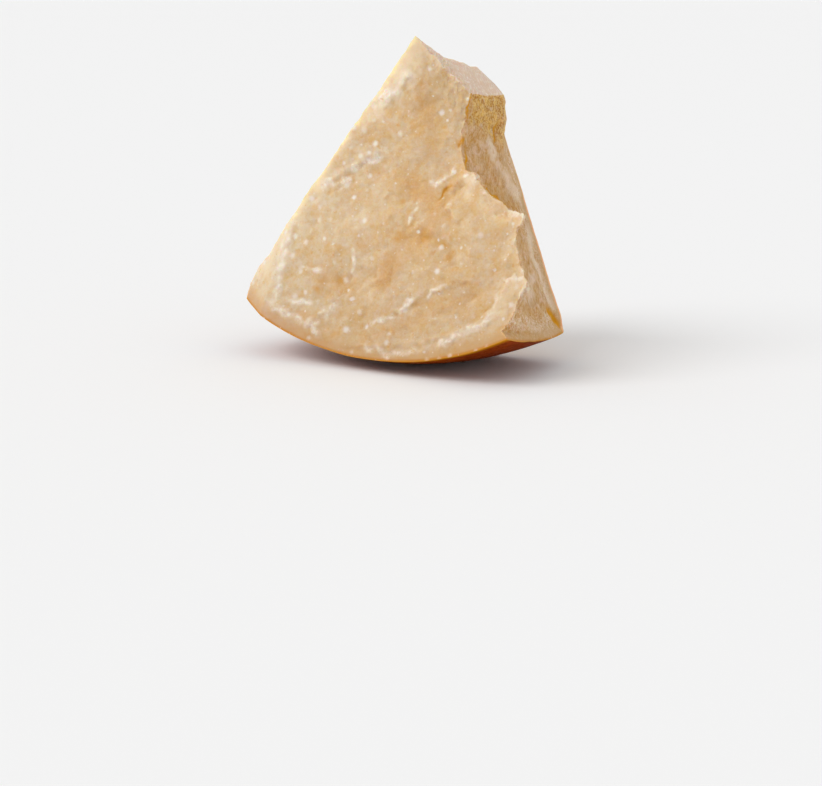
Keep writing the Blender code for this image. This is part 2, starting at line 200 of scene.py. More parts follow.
# Crumbly whitish ridges of the front: path in X and Z, height, half width
FRONT_RIDGES = [
    ([(-14, -29), (-9, -25), (-4, -19)], 0.2, 5.0),
    ([(-28, -46), (-18, -36), (-9, -31)], 0.3, 6.0),
    ([(-61, -104), (-53, -96), (-43, -91), (-31, -83)], 0.3, 4.4),
    ([(-34, -86), (-24, -79), (-15, -72)], 0.2, 3.4),
    ([(-45, -108), (-43, -98), (-39, -90)], 0.2, 3.4),
    ([(20, -94), (28, -88), (32, -83), (35, -77)], 0.2, 2.2),
    ([(-76, -181), (-64, -181), (-52, -182)], 0.3, 2.4),
    ([(-32, -141), (-28, -151), (-28, -160)], 0.2, 2.0),
    ([(-67, -158), (-58, -159), (-47, -158)], 0.15, 1.8),
    ([(-8, -208), (11, -209), (21, -207), (36, -204)], 0.7, 3.6),
    ([(36, -204), (54, -196), (64, -189), (73, -185), (86, -173)], 1.3, 4.0),
    ([(-74, -125), (-82, -135), (-84, -156), (-83, -172), (-83, -181), (-88, -196)], 0.5, 3.6),
    ([(-87, -190), (-79, -187), (-67, -192), (-57, -196)], 0.5, 3.6),
    ([(-56, -200), (-47, -194), (-39, -185), (-35, -178)], 0.6, 3.8),
    ([(-49, -197), (-47, -201), (-43, -204)], 0.5, 3.0),
    ([(-7, -193), (-3, -187), (7, -187), (12, -182)], 0.3, 2.2),
    ([(12, -184), (17, -175), (25, -168)], 0.3, 2.4),
    ([(31, -170), (34, -165), (43, -160)], 0.2, 1.8),
    ([(8, -123), (9, -115), (12, -110)], 0.1, 1.8),
]

# Whitish edges where a flake ends: path in X and Z, half width, whiteness
FLAKE_EDGES = [
    ([(43, -93), (44, -85), (50, -86), (54, -92)], 2.8, 1.0),
    ([(52, -90), (62, -96), (72, -101), (82, -107)], 1.4, 0.3),
    ([(76, -105), (92, -108), (91, -117), (87, -127)], 3.4, 0.9),
    ([(88, -125), (90, -139), (94, -148), (101, -153)], 3.0, 0.3),
    ([(83, -151), (94, -150), (101, -153), (99, -162)], 2.8, 0.9),
    ([(83, -151), (80, -159), (81, -166), (83, -174)], 1.8, 0.6),
    ([(-21, -40), (-13, -31), (-5, -21)], 4.6, 0.7),
]

# Paler places (above 0) and deeper ones (below 0): path, half width, tone; in X and Z on the front
FRONT_TONES = [
    ([(-2, -2), (-4, -16)], 9.0, 0.5),
    ([(-9, -16), (-17, -30), (-28, -48)], 8.5, 0.9),
    ([(-28, -48), (-46, -74), (-64, -102)], 5.0, 0.35),
    ([(-64, -102), (-84, -134), (-104, -164)], 7.0, 0.5),
    ([(-98, -150), (-103, -180)], 13.0, 0.55),
    ([(-10, -96), (-24, -120), (-44, -128)], 12.0, 0.4),
    ([(-2, -93), (18, -100), (28, -113), (22, -131), (5, -139), (-4, -160)], 10.0, -0.7),
    ([(29, -104), (31, -96), (36, -90)], 3.0, -0.5),
    ([(4, -28), (10, -44), (16, -70)], 8.0, -0.4),
    ([(-52, -160), (-38, -166), (-24, -170)], 9.0, -0.5),
    ([(-58, -190), (-46, -196), (-34, -204)], 6.0, -0.5),
    ([(2, -198), (26, -184), (50, -172), (66, -162)], 5.0, -0.45),
    ([(92, -154), (87, -164), (86, -175)], 8.0, 0.55),
    ([(60, -104), (84, -112), (86, -124)], 7.0, 0.4),
    ([(46, -88), (48, -98)], 4.0, 0.6),
]

# The same on the right side, in reach and Y
RIGHT_TONES = [
    ([(66, 54), (78, 56), (84, 61), (90, 67), (95, 82), (99, 92)], 5.0, 0.8),
    ([(70, 28), (80, 34), (88, 42)], 8.0, 0.15),
    ([(98, 24), (100, 44), (105, 55), (106, 76), (108, 88)], 5.5, -0.9),
    ([(119, 80), (131, 74), (144, 62), (156, 58), (168, 30)], 7.0, -0.6),
    ([(118, 95), (130, 90), (142, 86), (152, 92), (162, 94), (174, 92)], 5.0, 0.7),
    ([(158, 76), (170, 66), (178, 52)], 5.0, 0.6),
    ([(191, 14), (191, 43), (192, 56), (187, 70)], 5.0, -0.9),
    ([(175, 97), (181, 95)], 3.5, 0.7),
    ([(201, 8), (202, 39), (203, 56), (200, 76)], 3.0, 0.4),
]

# Cracks that show amber: path, depth, half width; in X and Z, then in reach and Y
FRONT_CRACKS = [
    ([(28, -104), (29, -97), (35, -91)], 0.7, 1.4),
    ([(32, -58), (33, -62), (34, -67)], 0.4, 1.3),
]
RIGHT_CRACKS = [
    ([(180, 82), (186, 89), (190, 96), (195, 104)], 2.2, 4.4),
    ([(49, 66), (56, 64), (67, 56)], 1.4, 2.2),
    ([(37, 24), (43, 24), (51, 24), (58, 25)], 0.6, 1.6),
    ([(74, 24), (83, 21), (92, 17)], 0.4, 1.3),
    ([(98, 22), (104, 38), (107, 54), (109, 70)], 0.7, 1.6),
]

# Soft amber places of the front, partly the paste's own amber, partly painted shade under plates
# and beside ridges: X, Z, radius, strength
AMBER_SPOTS = [
    (3, -28, 2.0, 0.5),
    (9, -27, 1.8, 0.5),
    (5, -40, 2.4, 0.4),
    (-21, -68, 3.0, 0.3),
    (-38, -77, 2.5, 0.3),
    (0, -106, 3.5, 0.4),
    (7, -113, 3.0, 0.4),
    (3, -130, 5.0, 0.55),
    (20, -130, 5.0, 0.5),
    (35, -133, 5.0, 0.5),
    (42, -141, 4.0, 0.5),
    (-49, -165, 4.5, 0.5),
    (-51, -172, 4.0, 0.5),
    (-37, -164, 3.5, 0.5),
    (24, -175, 3.5, 0.35),
    (36, -172, 4.0, 0.35),
    (50, -167, 4.0, 0.3),
    (76, -173, 2.5, 0.35),
    (94, -184, 2.5, 0.5),
    (-30, -200, 5.0, 0.4),
]

# The darker knob under the roof, on the right side: middle and half size in reach and Y, and the
# shares of that size between which it fades
KNOB_MIDDLE = (37.0, 64.0)
KNOB_SIZE = (28.0, 44.0)
KNOB_FADE = (0.75, 1.15)

# The way that fibres run on the right side and on its knob, in reach and Y, and the share of their
# length that the streaks of colour leave out; then the way that flakes run on the front, in X and Z
FIBRE_WAY = (0.86, -0.5)
KNOB_WAY = (0.98, 0.15)
FIBRE_SQUEEZE = 0.88
FLAKE_WAY = (0.82, 0.57)
FLAKE_LENGTH = 4.0
FLAKE_CRESTS = [(15.0, 0.35), (7.0, 0.14)]

# The flake on the right side: its upper and lower ends by reach, and how thick it is
FLAKE_REACH = (88.0, 206.0)
FLAKE_FRONT = 18.0
FLAKE_THICKNESS = 15.0

# Where the right side's foot is filled out behind the front's notch: reach, depth
FOOT_REACH = (190.0, 200.0)
FOOT_DEPTH = 5.0

# Roughness of the broken paste: feature size and height, for crests and for plain noise
CRESTS = [(38.0, 1.2), (17.0, 0.6), (8.0, 0.3)]
SWELLS = [(80.0, 2.2), (12.0, 0.5), (4.5, 0.25)]
FINE_CRESTS = [(4.2, 0.05)]
FINE_SWELLS = [(2.2, 0.04), (1.3, 0.02)]
EDGE_WANDER = [(22.0, 0.7), (9.0, 0.5), (4.5, 0.35)]
FINE_WANDER = [(2.4, 0.14), (1.4, 0.07)]
FLAKE_JAGS = [(5.0, 1.1), (2.6, 0.9), (1.6, 0.5)]
JAG_DEPTH = 0.15
RIM_WIDTH = 3.0
RIM_JAGS = 0.7
CRUMBS = [(3.0, 0.4), (1.6, 0.25)]
GROOVES = [(6.0, 0.5), (2.6, 0.3)]
CREST_ROUNDING = 0.12
CREST_SHARE = 0.5
GROOVE_LENGTH = 7.0
SMOOTH_BAND = 13.0
FRONT_SCARP_SHARE = 0.75
SCARP_WIDTH = 2.4
SIDE_SCARP_WIDTH = 6.0
SCARP_WANDER = [(9.0, 2.4), (4.0, 1.0)]
RIND_DENTS = 0.35

# How far in the painted glow along the left edge of the front reaches, and how thick the flat
# rind's skin is
GLOW_WIDTH = 2.6
CRUST = 4.0

# Depths between which the relief of the front gives way to that of the sides, and between which
# the marks along its edges, the jags of its tips and the painted glow of its left edge end
FRONT_FADE = (26.0, 58.0)
EDGE_FADE = (24.0, 34.0)
TIP_FADE = (22.0, 32.0)
GLOW_FADE = (4.0, 9.0)

# Between which X the paste goes from calm to rough, and from pale on the left to tan, the pale
# left being painted light from that side
CALM_SPAN = (-70.0, -10.0)
LEFT_LIGHT_SPAN = (-95.0, 5.0)

# Crystals, ordinary and tiny ones: size of the cell that holds one, smallest and largest radius,
# in metres
CRYSTALS = (0.0085, 0.0011, 0.0032)
TINY_CRYSTALS = (0.0045, 0.0004, 0.0011)

# Hollows and crests for the colours: rounds of smoothing, then the depth in metres that counts fully
RELIEF_ROUNDS = 16
RELIEF_DEPTH = 0.001

# How fine the surface is: steps across, down and back, then the triangles that are kept
GRID = (240, 290, 140)
TRIANGLES = 190000

# Camera, as in the photograph
CAMERA_AT = (0.6360, -1.1069, 0.2505)
CAMERA_AZIMUTH = 30.18
CAMERA_PITCH = -12.33
CAMERA_ROLL = 0.91
CAMERA_LENS = 81.2

# The floor: how far it reaches each way in metres, and its shade
FLOOR_REACH = 150.0
FLOOR_GREY = 0.885

# Light: the world's pale fill, and a broad soft key from the front left above
WORLD_LIGHT = 0.72
KEY_FROM = (-0.7, -1.0, 1.1)
KEY_POWER = 1.4
KEY_SPREAD = 40.0


def colour(red, green, blue):
    """A colour given as it looks on a screen, 0 to 255, as linear light."""
    parts = [value / 255 for value in (red, green, blue)]
    linear = [part / 12.92 if part < 0.04045 else ((part + 0.055) / 1.055) ** 2.4 for part in parts]
    return (*linear, 1.0)


FRONT_TAN = colour(210, 181, 142)
FRONT_PINK = colour(210, 185, 154)
PAINTED_LEFT_LIGHT = colour(216, 201, 176)
LOW_SHADE = (0.875, 0.85, 0.825, 1.0)
FRONT_LIGHT = colour(236, 216, 184)
FRONT_DEEP = colour(206, 158, 98)
STRAW = colour(212, 168, 98)
CREAM = colour(218, 198, 170)
CRUMB_WHITE = colour(240, 233, 222)
CRYSTAL = colour(232, 224, 214)
AMBER = colour(204, 148, 62)
DEEP_AMBER = colour(194, 134, 44)
SIDE_AMBER = colour(216, 150, 0)
PAINTED_GLOW = colour(246, 227, 180)
SIDE_TAN = colour(214, 168, 112)
SIDE_BROWN = colour(190, 142, 84)
SIDE_FIBRE = colour(226, 196, 160)
SIDE_LIGHT = colour(246, 228, 206)
SIDE_PINK = colour(222, 184, 156)
SIDE_DEEP = colour(194, 136, 46)
KNOB_AMBER = colour(172, 102, 0)
KNOB_TAN = colour(228, 180, 84)
KNOB_LIGHT = colour(234, 202, 124)
ROOF_PINK = colour(222, 192, 166)
ROOF_WHITE = colour(242, 234, 224)
BAND_ORANGE = colour(200, 158, 104)
BAND_PINK = colour(204, 158, 112)
RIND_EDGE = colour(196, 132, 28)
SILHOUETTE_PINK = colour(238, 176, 132)
RIND_BROWN = colour(166, 74, 0)
RIND_DARK = colour(138, 50, 0)
RIND_SPECK = colour(96, 36, 0)
RIND_GOLD = colour(196, 130, 10)
SKIN_TAN = colour(214, 172, 128)
SKIN_BROWN = colour(196, 144, 92)
SKIN_SPECK = colour(176, 118, 66)


def smoothstep(low, high, value):
    share = np.clip((value - low) / (high - low), 0, 1)
    return share * share * (3 - 2 * share)


def noise(points, size, seed):
    """Smooth noise between about -1 and 1, with bumps of the given size."""
    random = np.random.default_rng(seed)
    shuffled = random.permutation(256)
    gradients = random.normal(size=(256, 3))
    gradients /= np.linalg.norm(gradients, axis=1)[:, None]
    scaled = points / size
    cell = np.floor(scaled).astype(int)
    local = scaled - cell
    blend = local**3 * (local * (local * 6 - 15) + 10)
    total = np.zeros(len(points))
    for corner in itertools.product((0, 1), repeat=3):
        index = (cell + corner) % 256
        pick = shuffled[(shuffled[(shuffled[index[:, 0]] + index[:, 1]) % 256] + index[:, 2]) % 256]
        weight = np.prod(np.where(corner, blend, 1 - blend), axis=1)
        total += weight * np.sum(gradients[pick] * (local - corner), axis=1)
    return total * 1.5


def crests(points, size, seed):
    """Sharp crests with rounded hollows between them, about -1 to 1."""
    return 1 - 4 * np.hypot(noise(points, size, seed), CREST_ROUNDING)


def rind_radius(y):
    """The wheel bulges at half its height, which is where the front broke away."""
    half = WHEEL_HEIGHT / 2
    bulge = BARREL_SAG * ((y - THICKNESS + half) / half) ** 2
    past = np.clip(y - THICKNESS + RIM_ROUND, 0, RIM_ROUND)
    return WHEEL_RADIUS - bulge - RIM_ROUND + np.sqrt(RIM_ROUND**2 - past**2)


def on_rind(angle, y):
    radius = rind_radius(y)
    return np.stack([radius * np.sin(angle), y, -radius * np.cos(angle)], axis=-1)


def on_back_side(angle, keys):
    """Turns keys of share and reach into keys of share, X, Y and Z on the flat rind."""
    return [
        (share, reach * math.sin(angle), THICKNESS, -reach * math.cos(angle))
        for share, reach in keys
    ]


def on_back(keys):
    return [(share, x, THICKNESS, z) for share, x, z in keys]


def along(keys, count):
    """Points at even steps of the first value of each key."""
    table = np.array(keys, dtype=float)
    steps = np.linspace(0, 1, count + 1)
    return np.stack([np.interp(steps, table[:, 0], column) for column in table[:, 1:].T], axis=1)


def along_rind(keys, count):
    table = np.array(keys, dtype=float)
    angle = np.linspace(table[0, 0], table[-1, 0], count + 1)
    return np.stack([angle, np.interp(angle, table[:, 0], table[:, 1])], axis=1)


def patch(left, right, top, bottom):
    """A surface between four edges. Left and right run down, top and bottom run across."""
    down = np.linspace(0, 1, len(left))[:, None, None]
    across = np.linspace(0, 1, len(top))[None, :, None]
    sideways = (1 - across) * left[:, None] + across * right[:, None]
    lengthways = (1 - down) * top[None] + down * bottom[None]
    upper = (1 - across) * top[0] + across * top[-1]
    lower = (1 - across) * bottom[0] + across * bottom[-1]
    return sideways + lengthways - (1 - down) * upper - down * lower


def rind_patch(front, back, layers):
    """The curved rind between its front and back edges, which are given as angle and Y."""
    depth = np.linspace(0, 1, layers + 1)[:, None, None]
    surface = (1 - depth) * front[None] + depth * back[None]
    return on_rind(np.radians(surface[..., 0]), surface[..., 1])


def faces(columns, rows, layers):
    """The six faces of the chunk as grids of points that share their edges."""
    foot_front = along_rind(FOOT_FRONT, columns)
    foot_back = along_rind(FOOT_BACK, columns)
    rind = rind_patch(foot_front, foot_back, layers)
    left_front = along(LEFT_FRONT, rows)
    right_front = along(RIGHT_FRONT, rows)
    left_back = along(on_back_side(LEFT_SIDE, LEFT_BACK), rows)
    right_back = along(on_back(RIGHT_BACK_TOP) + on_back_side(RIGHT_SIDE, RIGHT_BACK), rows)
    for side, column in ((left_front, 0), (right_front, -1)):
        side[-1] = rind[0, column]
    for side, column in ((left_back, 0), (right_back, -1)):
        side[-1] = rind[-1, column]
    top_front = along(TOP_FRONT, columns)
    top_back = along(on_back(TOP_BACK), columns)
    ridge = along(RIDGE, layers)
    chip_edge = along(CHIP_EDGE, layers)
    front = patch(left_front, right_front, top_front, rind[0])
    across = np.linspace(0, 1, columns + 1)[None]
    change = along(FRONT_HEADING, rows)[:, 0] - right_front[:, 1]
    front[..., 1] += change[:, None] * across * (1 - smoothstep(*EDGE_TAKES_OVER, across))
    return {
        "front": front,
        "back": patch(left_back, right_back, top_back, rind[-1]),
        "left": patch(left_front, left_back, ridge, rind[:, 0]),
        "right": patch(right_front, right_back, chip_edge, rind[:, -1]),
        "chip": patch(ridge, chip_edge, top_front, top_back),
        "rind": rind,
    }


def from_path(x, y, path):
    """Distance to a path, positive on its left, and the share of the way along it."""
    corners = np.array(path, dtype=float)
    steps = np.diff(corners, axis=0)
    lengths = np.hypot(steps[:, 0], steps[:, 1])
    starts = np.concatenate([[0], np.cumsum(lengths)[:-1]])
    nearest = np.full(len(x), np.inf)
    share = np.zeros(len(x))
    for corner, step, length, start in zip(corners, steps, lengths, starts):
        run = ((x - corner[0]) * step[0] + (y - corner[1]) * step[1]) / length
        held = np.clip(run, 0, length)
        away_x = x - corner[0] - held * step[0] / length
        away_y = y - corner[1] - held * step[1] / length
        distance = np.hypot(away_x, away_y)
        closer = distance < np.abs(nearest)
        left = np.sign(step[0] * away_y - step[1] * away_x)
        nearest = np.where(closer, distance * np.where(left < 0, -1, 1), nearest)
        share = np.where(closer, (start + run) / lengths.sum(), share)
    return nearest, share


def scarp(x, y, path, height, reach, width):
    """A step in the surface that dies away from its crest and towards its two ends."""
    side, share = from_path(x, y, path)
    step = smoothstep(-width, width, side)
    crest = step * np.exp(-np.maximum(side, 0) / reach)
    foot = (1 - step) * np.exp(np.minimum(side, 0) / reach * 2)
    ends = np.sqrt(np.sin(np.pi * np.clip(share, 0, 1)))
    return height * ends * (crest - 0.35 * foot)


def welt(x, y, path, half_width):
    """How close a point is to a path, from 1 on it to 0, and 0 past its ends."""
    side, share = from_path(x, y, path)
    ends = np.sqrt(np.sin(np.pi * np.clip(0.04 + 0.92 * share, 0, 1)))
    return ends * np.exp(-((side / half_width) ** 2))


def hollow(x, z, middle_x, middle_z, half_length, half_width, angle, depth):
    turn = math.radians(angle)
    lengthways = (x - middle_x) * math.cos(turn) + (z - middle_z) * math.sin(turn)
    sideways = (z - middle_z) * math.cos(turn) - (x - middle_x) * math.sin(turn)
    return -depth * np.exp(-((lengthways / half_length) ** 2) - (sideways / half_width) ** 2)


def to_side(points, angle):
    """Reach down a side and how far a point lies outside it, positive away from the chunk."""
    outward = 1 if angle > 0 else -1
    reach = points[:, 0] * math.sin(angle) - points[:, 2] * math.cos(angle)
    proud = outward * (points[:, 0] * math.cos(angle) + points[:, 2] * math.sin(angle))
    return reach, proud


def push_side(points, angle, amount):
    outward = 1 if angle > 0 else -1
    points[:, 0] += outward * amount * math.cos(angle)
    points[:, 2] += outward * amount * math.sin(angle)


def lower_left_facet(points):
    """Bends the lower left of the front back, out towards the curved rind."""
    side, _ = from_path(points[:, 0], points[:, 2], FACET_LINE)
    beyond = np.clip(-side, 0, None)
    below = smoothstep(FACET_LINE[0][1] + 10, FACET_LINE[1][1], points[:, 2])
    depth = 1 - points[:, 1] / THICKNESS
    points[:, 1] += FACET_SLOPE * beyond * below * depth


def fill_above_foot(points):
    """Keeps the notch above the right side's foot from running back as a crease."""
    reach, proud = to_side(points, RIGHT_SIDE)
    dip = np.minimum(proud, 0) * smoothstep(*FOOT_REACH, reach)
    behind = np.clip(points[:, 1] - FOOT_DEPTH, 0, None)
    push_side(points, RIGHT_SIDE, -dip * (1 - np.exp(-behind / FOOT_DEPTH)))


def tuck_behind_flake(points):
    """Lets the right side fall back to its plane a little way behind the flake's edge."""
    reach, proud = to_side(points, RIGHT_SIDE)
    upper, lower = FLAKE_REACH
    flake = smoothstep(upper, upper + 12, reach) * (1 - smoothstep(lower - 12, lower, reach))
    behind = np.clip(points[:, 1] - FLAKE_FRONT, 0, None)
    tucked = np.maximum(proud, 0) * flake * (1 - np.exp(-behind / FLAKE_THICKNESS))
    push_side(points, RIGHT_SIDE, -tucked)


def roughness(points, seed, rough):
    """Height of the broken paste: large swells, crests where flakes parted, fine grain."""
    total = np.zeros(len(points))
    for step, (size, height) in enumerate(CRESTS):
        total += CREST_SHARE * height * crests(points, size, seed + step)
    for step, (size, height) in enumerate(SWELLS):
        total += height * noise(points, size, seed + 10 + step)
    for step, (size, height) in enumerate(FINE_CRESTS):
        total += height * crests(points, size, seed + 20 + step) * rough
    for step, (size, height) in enumerate(FINE_SWELLS):
        total += height * noise(points, size, seed + 30 + step)
    return total


def wander(points, sizes, seed):
    """A push in all three directions that wanders from place to place."""
    push = np.zeros_like(points)
    for step, (size, height) in enumerate(sizes):
        for axis in range(3):
            push[:, axis] += height * noise(points, size, seed + 3 * step + axis)
    return push


def below_rinds(points):
    """How deep a point lies under the nearer of the two rinds."""
    radius = np.hypot(points[:, 0], points[:, 2])
    return np.minimum(rind_radius(points[:, 1]) - radius, THICKNESS - points[:, 1])


def fibres(points, way, sizes, seed):
    """Fine grooves that run one way down the right side, given in reach and Y."""
    reach, proud = to_side(points, RIGHT_SIDE)
    lengthways = reach * way[0] + points[:, 1] * way[1]
    sideways = points[:, 1] * way[0] - reach * way[1]
    place = np.stack([sideways, lengthways / GROOVE_LENGTH, proud / GROOVE_LENGTH], axis=1)
    return sum(height * noise(place, size, seed + step) for step, (size, height) in enumerate(sizes))


def tones(x, y, places, seed):
    """How much paler or deeper each point is, from -1 to 1."""
    total = np.zeros(len(x))
    for path, half_width, tone in places:
        side, _ = from_path(x, y, path)
        total += tone * np.exp(-((side / half_width) ** 2))
    uneven = noise(np.stack([x, y, np.zeros(len(x))], axis=1), 11.0, seed)
    return np.clip(total * (1 + 0.5 * uneven), -1, 1)


def flakes(points, seed):
    """Long low crests that run up to the right across the front."""
    along_flake = points[:, 0] * FLAKE_WAY[0] + points[:, 2] * FLAKE_WAY[1]
    across_flake = points[:, 2] * FLAKE_WAY[0] - points[:, 0] * FLAKE_WAY[1]
    place = np.stack([across_flake, along_flake / FLAKE_LENGTH, points[:, 1]], axis=1)
    heights = enumerate(FLAKE_CRESTS)
    return sum(height * crests(place, size, seed + step) for step, (size, height) in heights)


def crumble(points, seed):
    """Small lumps, always outwards, about 0 to 1."""
    total = np.zeros(len(points))
    for step, (size, height) in enumerate(CRUMBS):
        total += height * np.abs(noise(points, size, seed + step))
    return 2 * total


def knob_share(points):
    reach, _ = to_side(points, RIGHT_SIDE)
    down = (reach - KNOB_MIDDLE[0]) / KNOB_SIZE[0]
    back = (points[:, 1] - KNOB_MIDDLE[1]) / KNOB_SIZE[1]
    away = np.hypot(down, back)
    return 1 - smoothstep(*KNOB_FADE, away + 0.25 * noise(points, 12.0, 75))


def smooth_plates(x, z):
    """How smooth the front is at each point, about 0 to 1."""
    total = np.zeros(len(x))
    for at_x, at_z, size in SMOOTH_PLATES:
        total += np.exp(-(((x - at_x) ** 2 + (z - at_z) ** 2) / size**2))
    return total


def push_front(points, strayed, rough, paste):
    """Breaks the front: returns its whitish ridges, its amber places and its share near an edge."""
    x, _, z = strayed.T
    front = 1 - smoothstep(*FRONT_FADE, points[:, 1])
    near_edge = front * (1 - smoothstep(*EDGE_FADE, points[:, 1]))
    patchy = 0.45 + 0.55 * smoothstep(-0.3, 0.3, noise(points, 6.0, 72))
    height = (roughness(points, 100, rough) + flakes(strayed, 120) * (0.4 + 0.6 * rough)) * paste
    height *= 1 - SMOOTH_SHARE * smooth_plates(x, z)
    height += FRONT_SCARP_SHARE * sum(scarp(x, z, *values, SCARP_WIDTH) for values in FRONT_SCARPS)
    height += sum(hollow(x, z, *values) for values in HOLLOWS)
    ridges = np.zeros(len(points))
    for path, rise, half_width in FRONT_RIDGES:
        profile = front * welt(x, z, path, half_width) * patchy
        height += rise * profile
        ridges = np.maximum(ridges, profile)
    for path, half_width, whiteness in FLAKE_EDGES:
        ridges = np.maximum(ridges, whiteness * near_edge * welt(x, z, path, half_width) * patchy)
    amber = np.zeros(len(points))
    for path, drop, half_width in FRONT_CRACKS:
        profile = near_edge * welt(x, z, path, half_width)
        height -= drop * profile
        amber = np.maximum(amber, profile)
    # Amber spots, partly the paste's own amber and partly painted shade under plates and beside ridges.
    for spot_x, spot_z, spot_radius, strength in AMBER_SPOTS:
        away = np.hypot(x - spot_x, z - spot_z) / spot_radius
        amber = np.maximum(amber, strength * front * np.exp(-(away**2)))
    crumbly = np.clip(0.1 * rough + ridges, 0, 1)
    height += crumble(points, 110) * crumbly * (0.3 + 0.7 * paste)
    from_axis = np.hypot(points[:, 0], points[:, 2])
    points[:, 1] -= front * height * (0.4 + 0.6 * smoothstep(0, 30, from_axis))
    return ridges, amber, near_edge


def side_height(points, strayed, angle, scarps, seed, rough, paste):
    """Height of the broken paste on one side."""
    reach, _ = to_side(strayed, angle)
    height = roughness(points, seed, rough) * paste
    height += sum(scarp(reach, strayed[:, 1], *values, SIDE_SCARP_WIDTH) for values in scarps)
    return height + crumble(points, seed + 50) * 0.25 * rough * paste


def knob_and_fibres(points, knob, paste):
    """Height of the right side's fibres and of its crumbly knob."""
    height = crumble(points, 260) * 0.5 * knob * paste
    grooves = fibres(points, FIBRE_WAY, GROOVES, 250) * 0.5 * (1 - knob)
    grooves += fibres(points, KNOB_WAY, GROOVES, 260) * 0.5 * knob
    return height + grooves * paste


def jag_edges(points, near_edge, under):
    """Jags the flakes' tips and the right edge of the front."""
    _, proud = to_side(points, RIGHT_SIDE)
    tips = smoothstep(0.5, 5, proud) * (1 - smoothstep(*TIP_FADE, points[:, 1]))
    rim = [(x, z) for _, x, _, z in RIGHT_FRONT[4:]]
    from_rim, _ = from_path(points[:, 0], points[:, 2], rim)
    near_rim = RIM_JAGS * np.exp(-((from_rim / RIM_WIDTH) ** 2)) * near_edge
    jagged = np.maximum(tips, near_rim) * smoothstep(2, 8, under)
    jags = wander(points, FLAKE_JAGS, 90) * jagged[:, None]
    jags[:, 1] *= JAG_DEPTH
    points += jags


def break_surface(points, looks):
    """Breaks the smooth wedge: the same push for the same place, so the faces stay joined."""
    under = below_rinds(points)
    paste = 0.25 + 0.75 * smoothstep(2, SMOOTH_BAND, under)
    strayed = points + wander(points, SCARP_WANDER, 40)
    x, y, z = strayed.T
    front = 1 - smoothstep(*FRONT_FADE, points[:, 1])
    rough = smoothstep(-0.15, 0.5, noise(strayed, 30.0, 70))
    ridges, amber, near_edge = push_front(points, strayed, rough, paste)
    for angle, scarps, seed in ((RIGHT_SIDE, RIGHT_SCARPS, 200), (LEFT_SIDE, LEFT_SCARPS, 300)):
        reach, proud = to_side(strayed, angle)
        near = smoothstep(-34, -10, proud) * smoothstep(14, 50, reach)
        height = side_height(points, strayed, angle, scarps, seed, rough, paste)
        if angle == RIGHT_SIDE:
            looks["knob"] = knob_share(points)
            height += knob_and_fibres(points, looks["knob"], paste)
            for path, drop, half_width in RIGHT_CRACKS:
                profile = smoothstep(-20, -6, proud) * welt(reach, y, path, half_width)
                height -= drop * profile
                amber = np.maximum(amber, profile * looks["right"])
            side_tone = tones(reach, y, RIGHT_TONES, 78)
        push_side(points, angle, near * height)
    looks["tone"] = np.where(looks["right"] > 0.5, side_tone, front * tones(x, z, FRONT_TONES, 76))
    calm = 0.45 + 0.55 * smoothstep(*CALM_SPAN, points[:, 0])
    points += wander(points, EDGE_WANDER + FINE_WANDER, 60) * (paste * calm)[:, None]
    jag_edges(points, near_edge, under)
    # Painted glow: a pale line along the left edge of the front.
    outline = [(x_key, z_key) for _, x_key, _, z_key in LEFT_FRONT]
    from_outline, _ = from_path(x, z, outline)
    edge_glow = np.exp(-((from_outline / GLOW_WIDTH) ** 2))
    looks["edge_glow"] = edge_glow * (1 - smoothstep(*GLOW_FADE, points[:, 1]))
    looks["white"] = np.clip(ridges + 0.1 * rough, 0, 1)
    # Painted light: the front paler towards its left, the side the light falls from.
    looks["pale"] = 1 - smoothstep(*LEFT_LIGHT_SPAN, points[:, 0])
    looks["crust"] = smoothstep(THICKNESS - CRUST, THICKNESS - CRUST / 3, points[:, 1])
    looks["amber"] = amber


def hold_rinds(points, on_curve, on_flat):
    """Puts the rinds back on the wheel, and keeps the paste inside it."""
    points[:, 1] = np.where(on_flat, THICKNESS, np.minimum(points[:, 1], THICKNESS))
    radius = np.hypot(points[:, 0], points[:, 2])
    allowed = rind_radius(points[:, 1])
    allowed = allowed + RIND_DENTS * (noise(points, 26.0, 80) - 0.5) * on_curve
    scale = np.where(on_curve | (radius > allowed), allowed / np.maximum(radius, 1), 1)
    points[:, 0] *= scale
    points[:, 2] *= scale


def weld(grids):
    """Joins grids of points along the edges that they share: points, four-cornered faces, looks.

    The looks say for each point, by the grid's name, whether it belongs to that grid.
    """
    everything = np.concatenate([grid.reshape(-1, 3) for grid in grids.values()])
    quads = []
    owners = {}
    used = 0
    for name, grid in grids.items():
        rows, columns = grid.shape[:2]
        index = used + np.arange(rows * columns).reshape(rows, columns)
        corners = [index[:-1, :-1], index[:-1, 1:], index[1:, 1:], index[1:, :-1]]
        quads.append(np.stack(corners, axis=-1).reshape(-1, 4))
        owners[name] = index.reshape(-1)
        used += rows * columns
    keys = np.round(everything / 0.002).astype(np.int64)
    _, first, shared = np.unique(keys, axis=0, return_index=True, return_inverse=True)
    shared = shared.reshape(-1)
    looks = {}
    for name, owned in owners.items():
        looks[name] = np.zeros(len(first))
        looks[name][shared[owned]] = 1
    return everything[first], shared[np.concatenate(quads)], looks


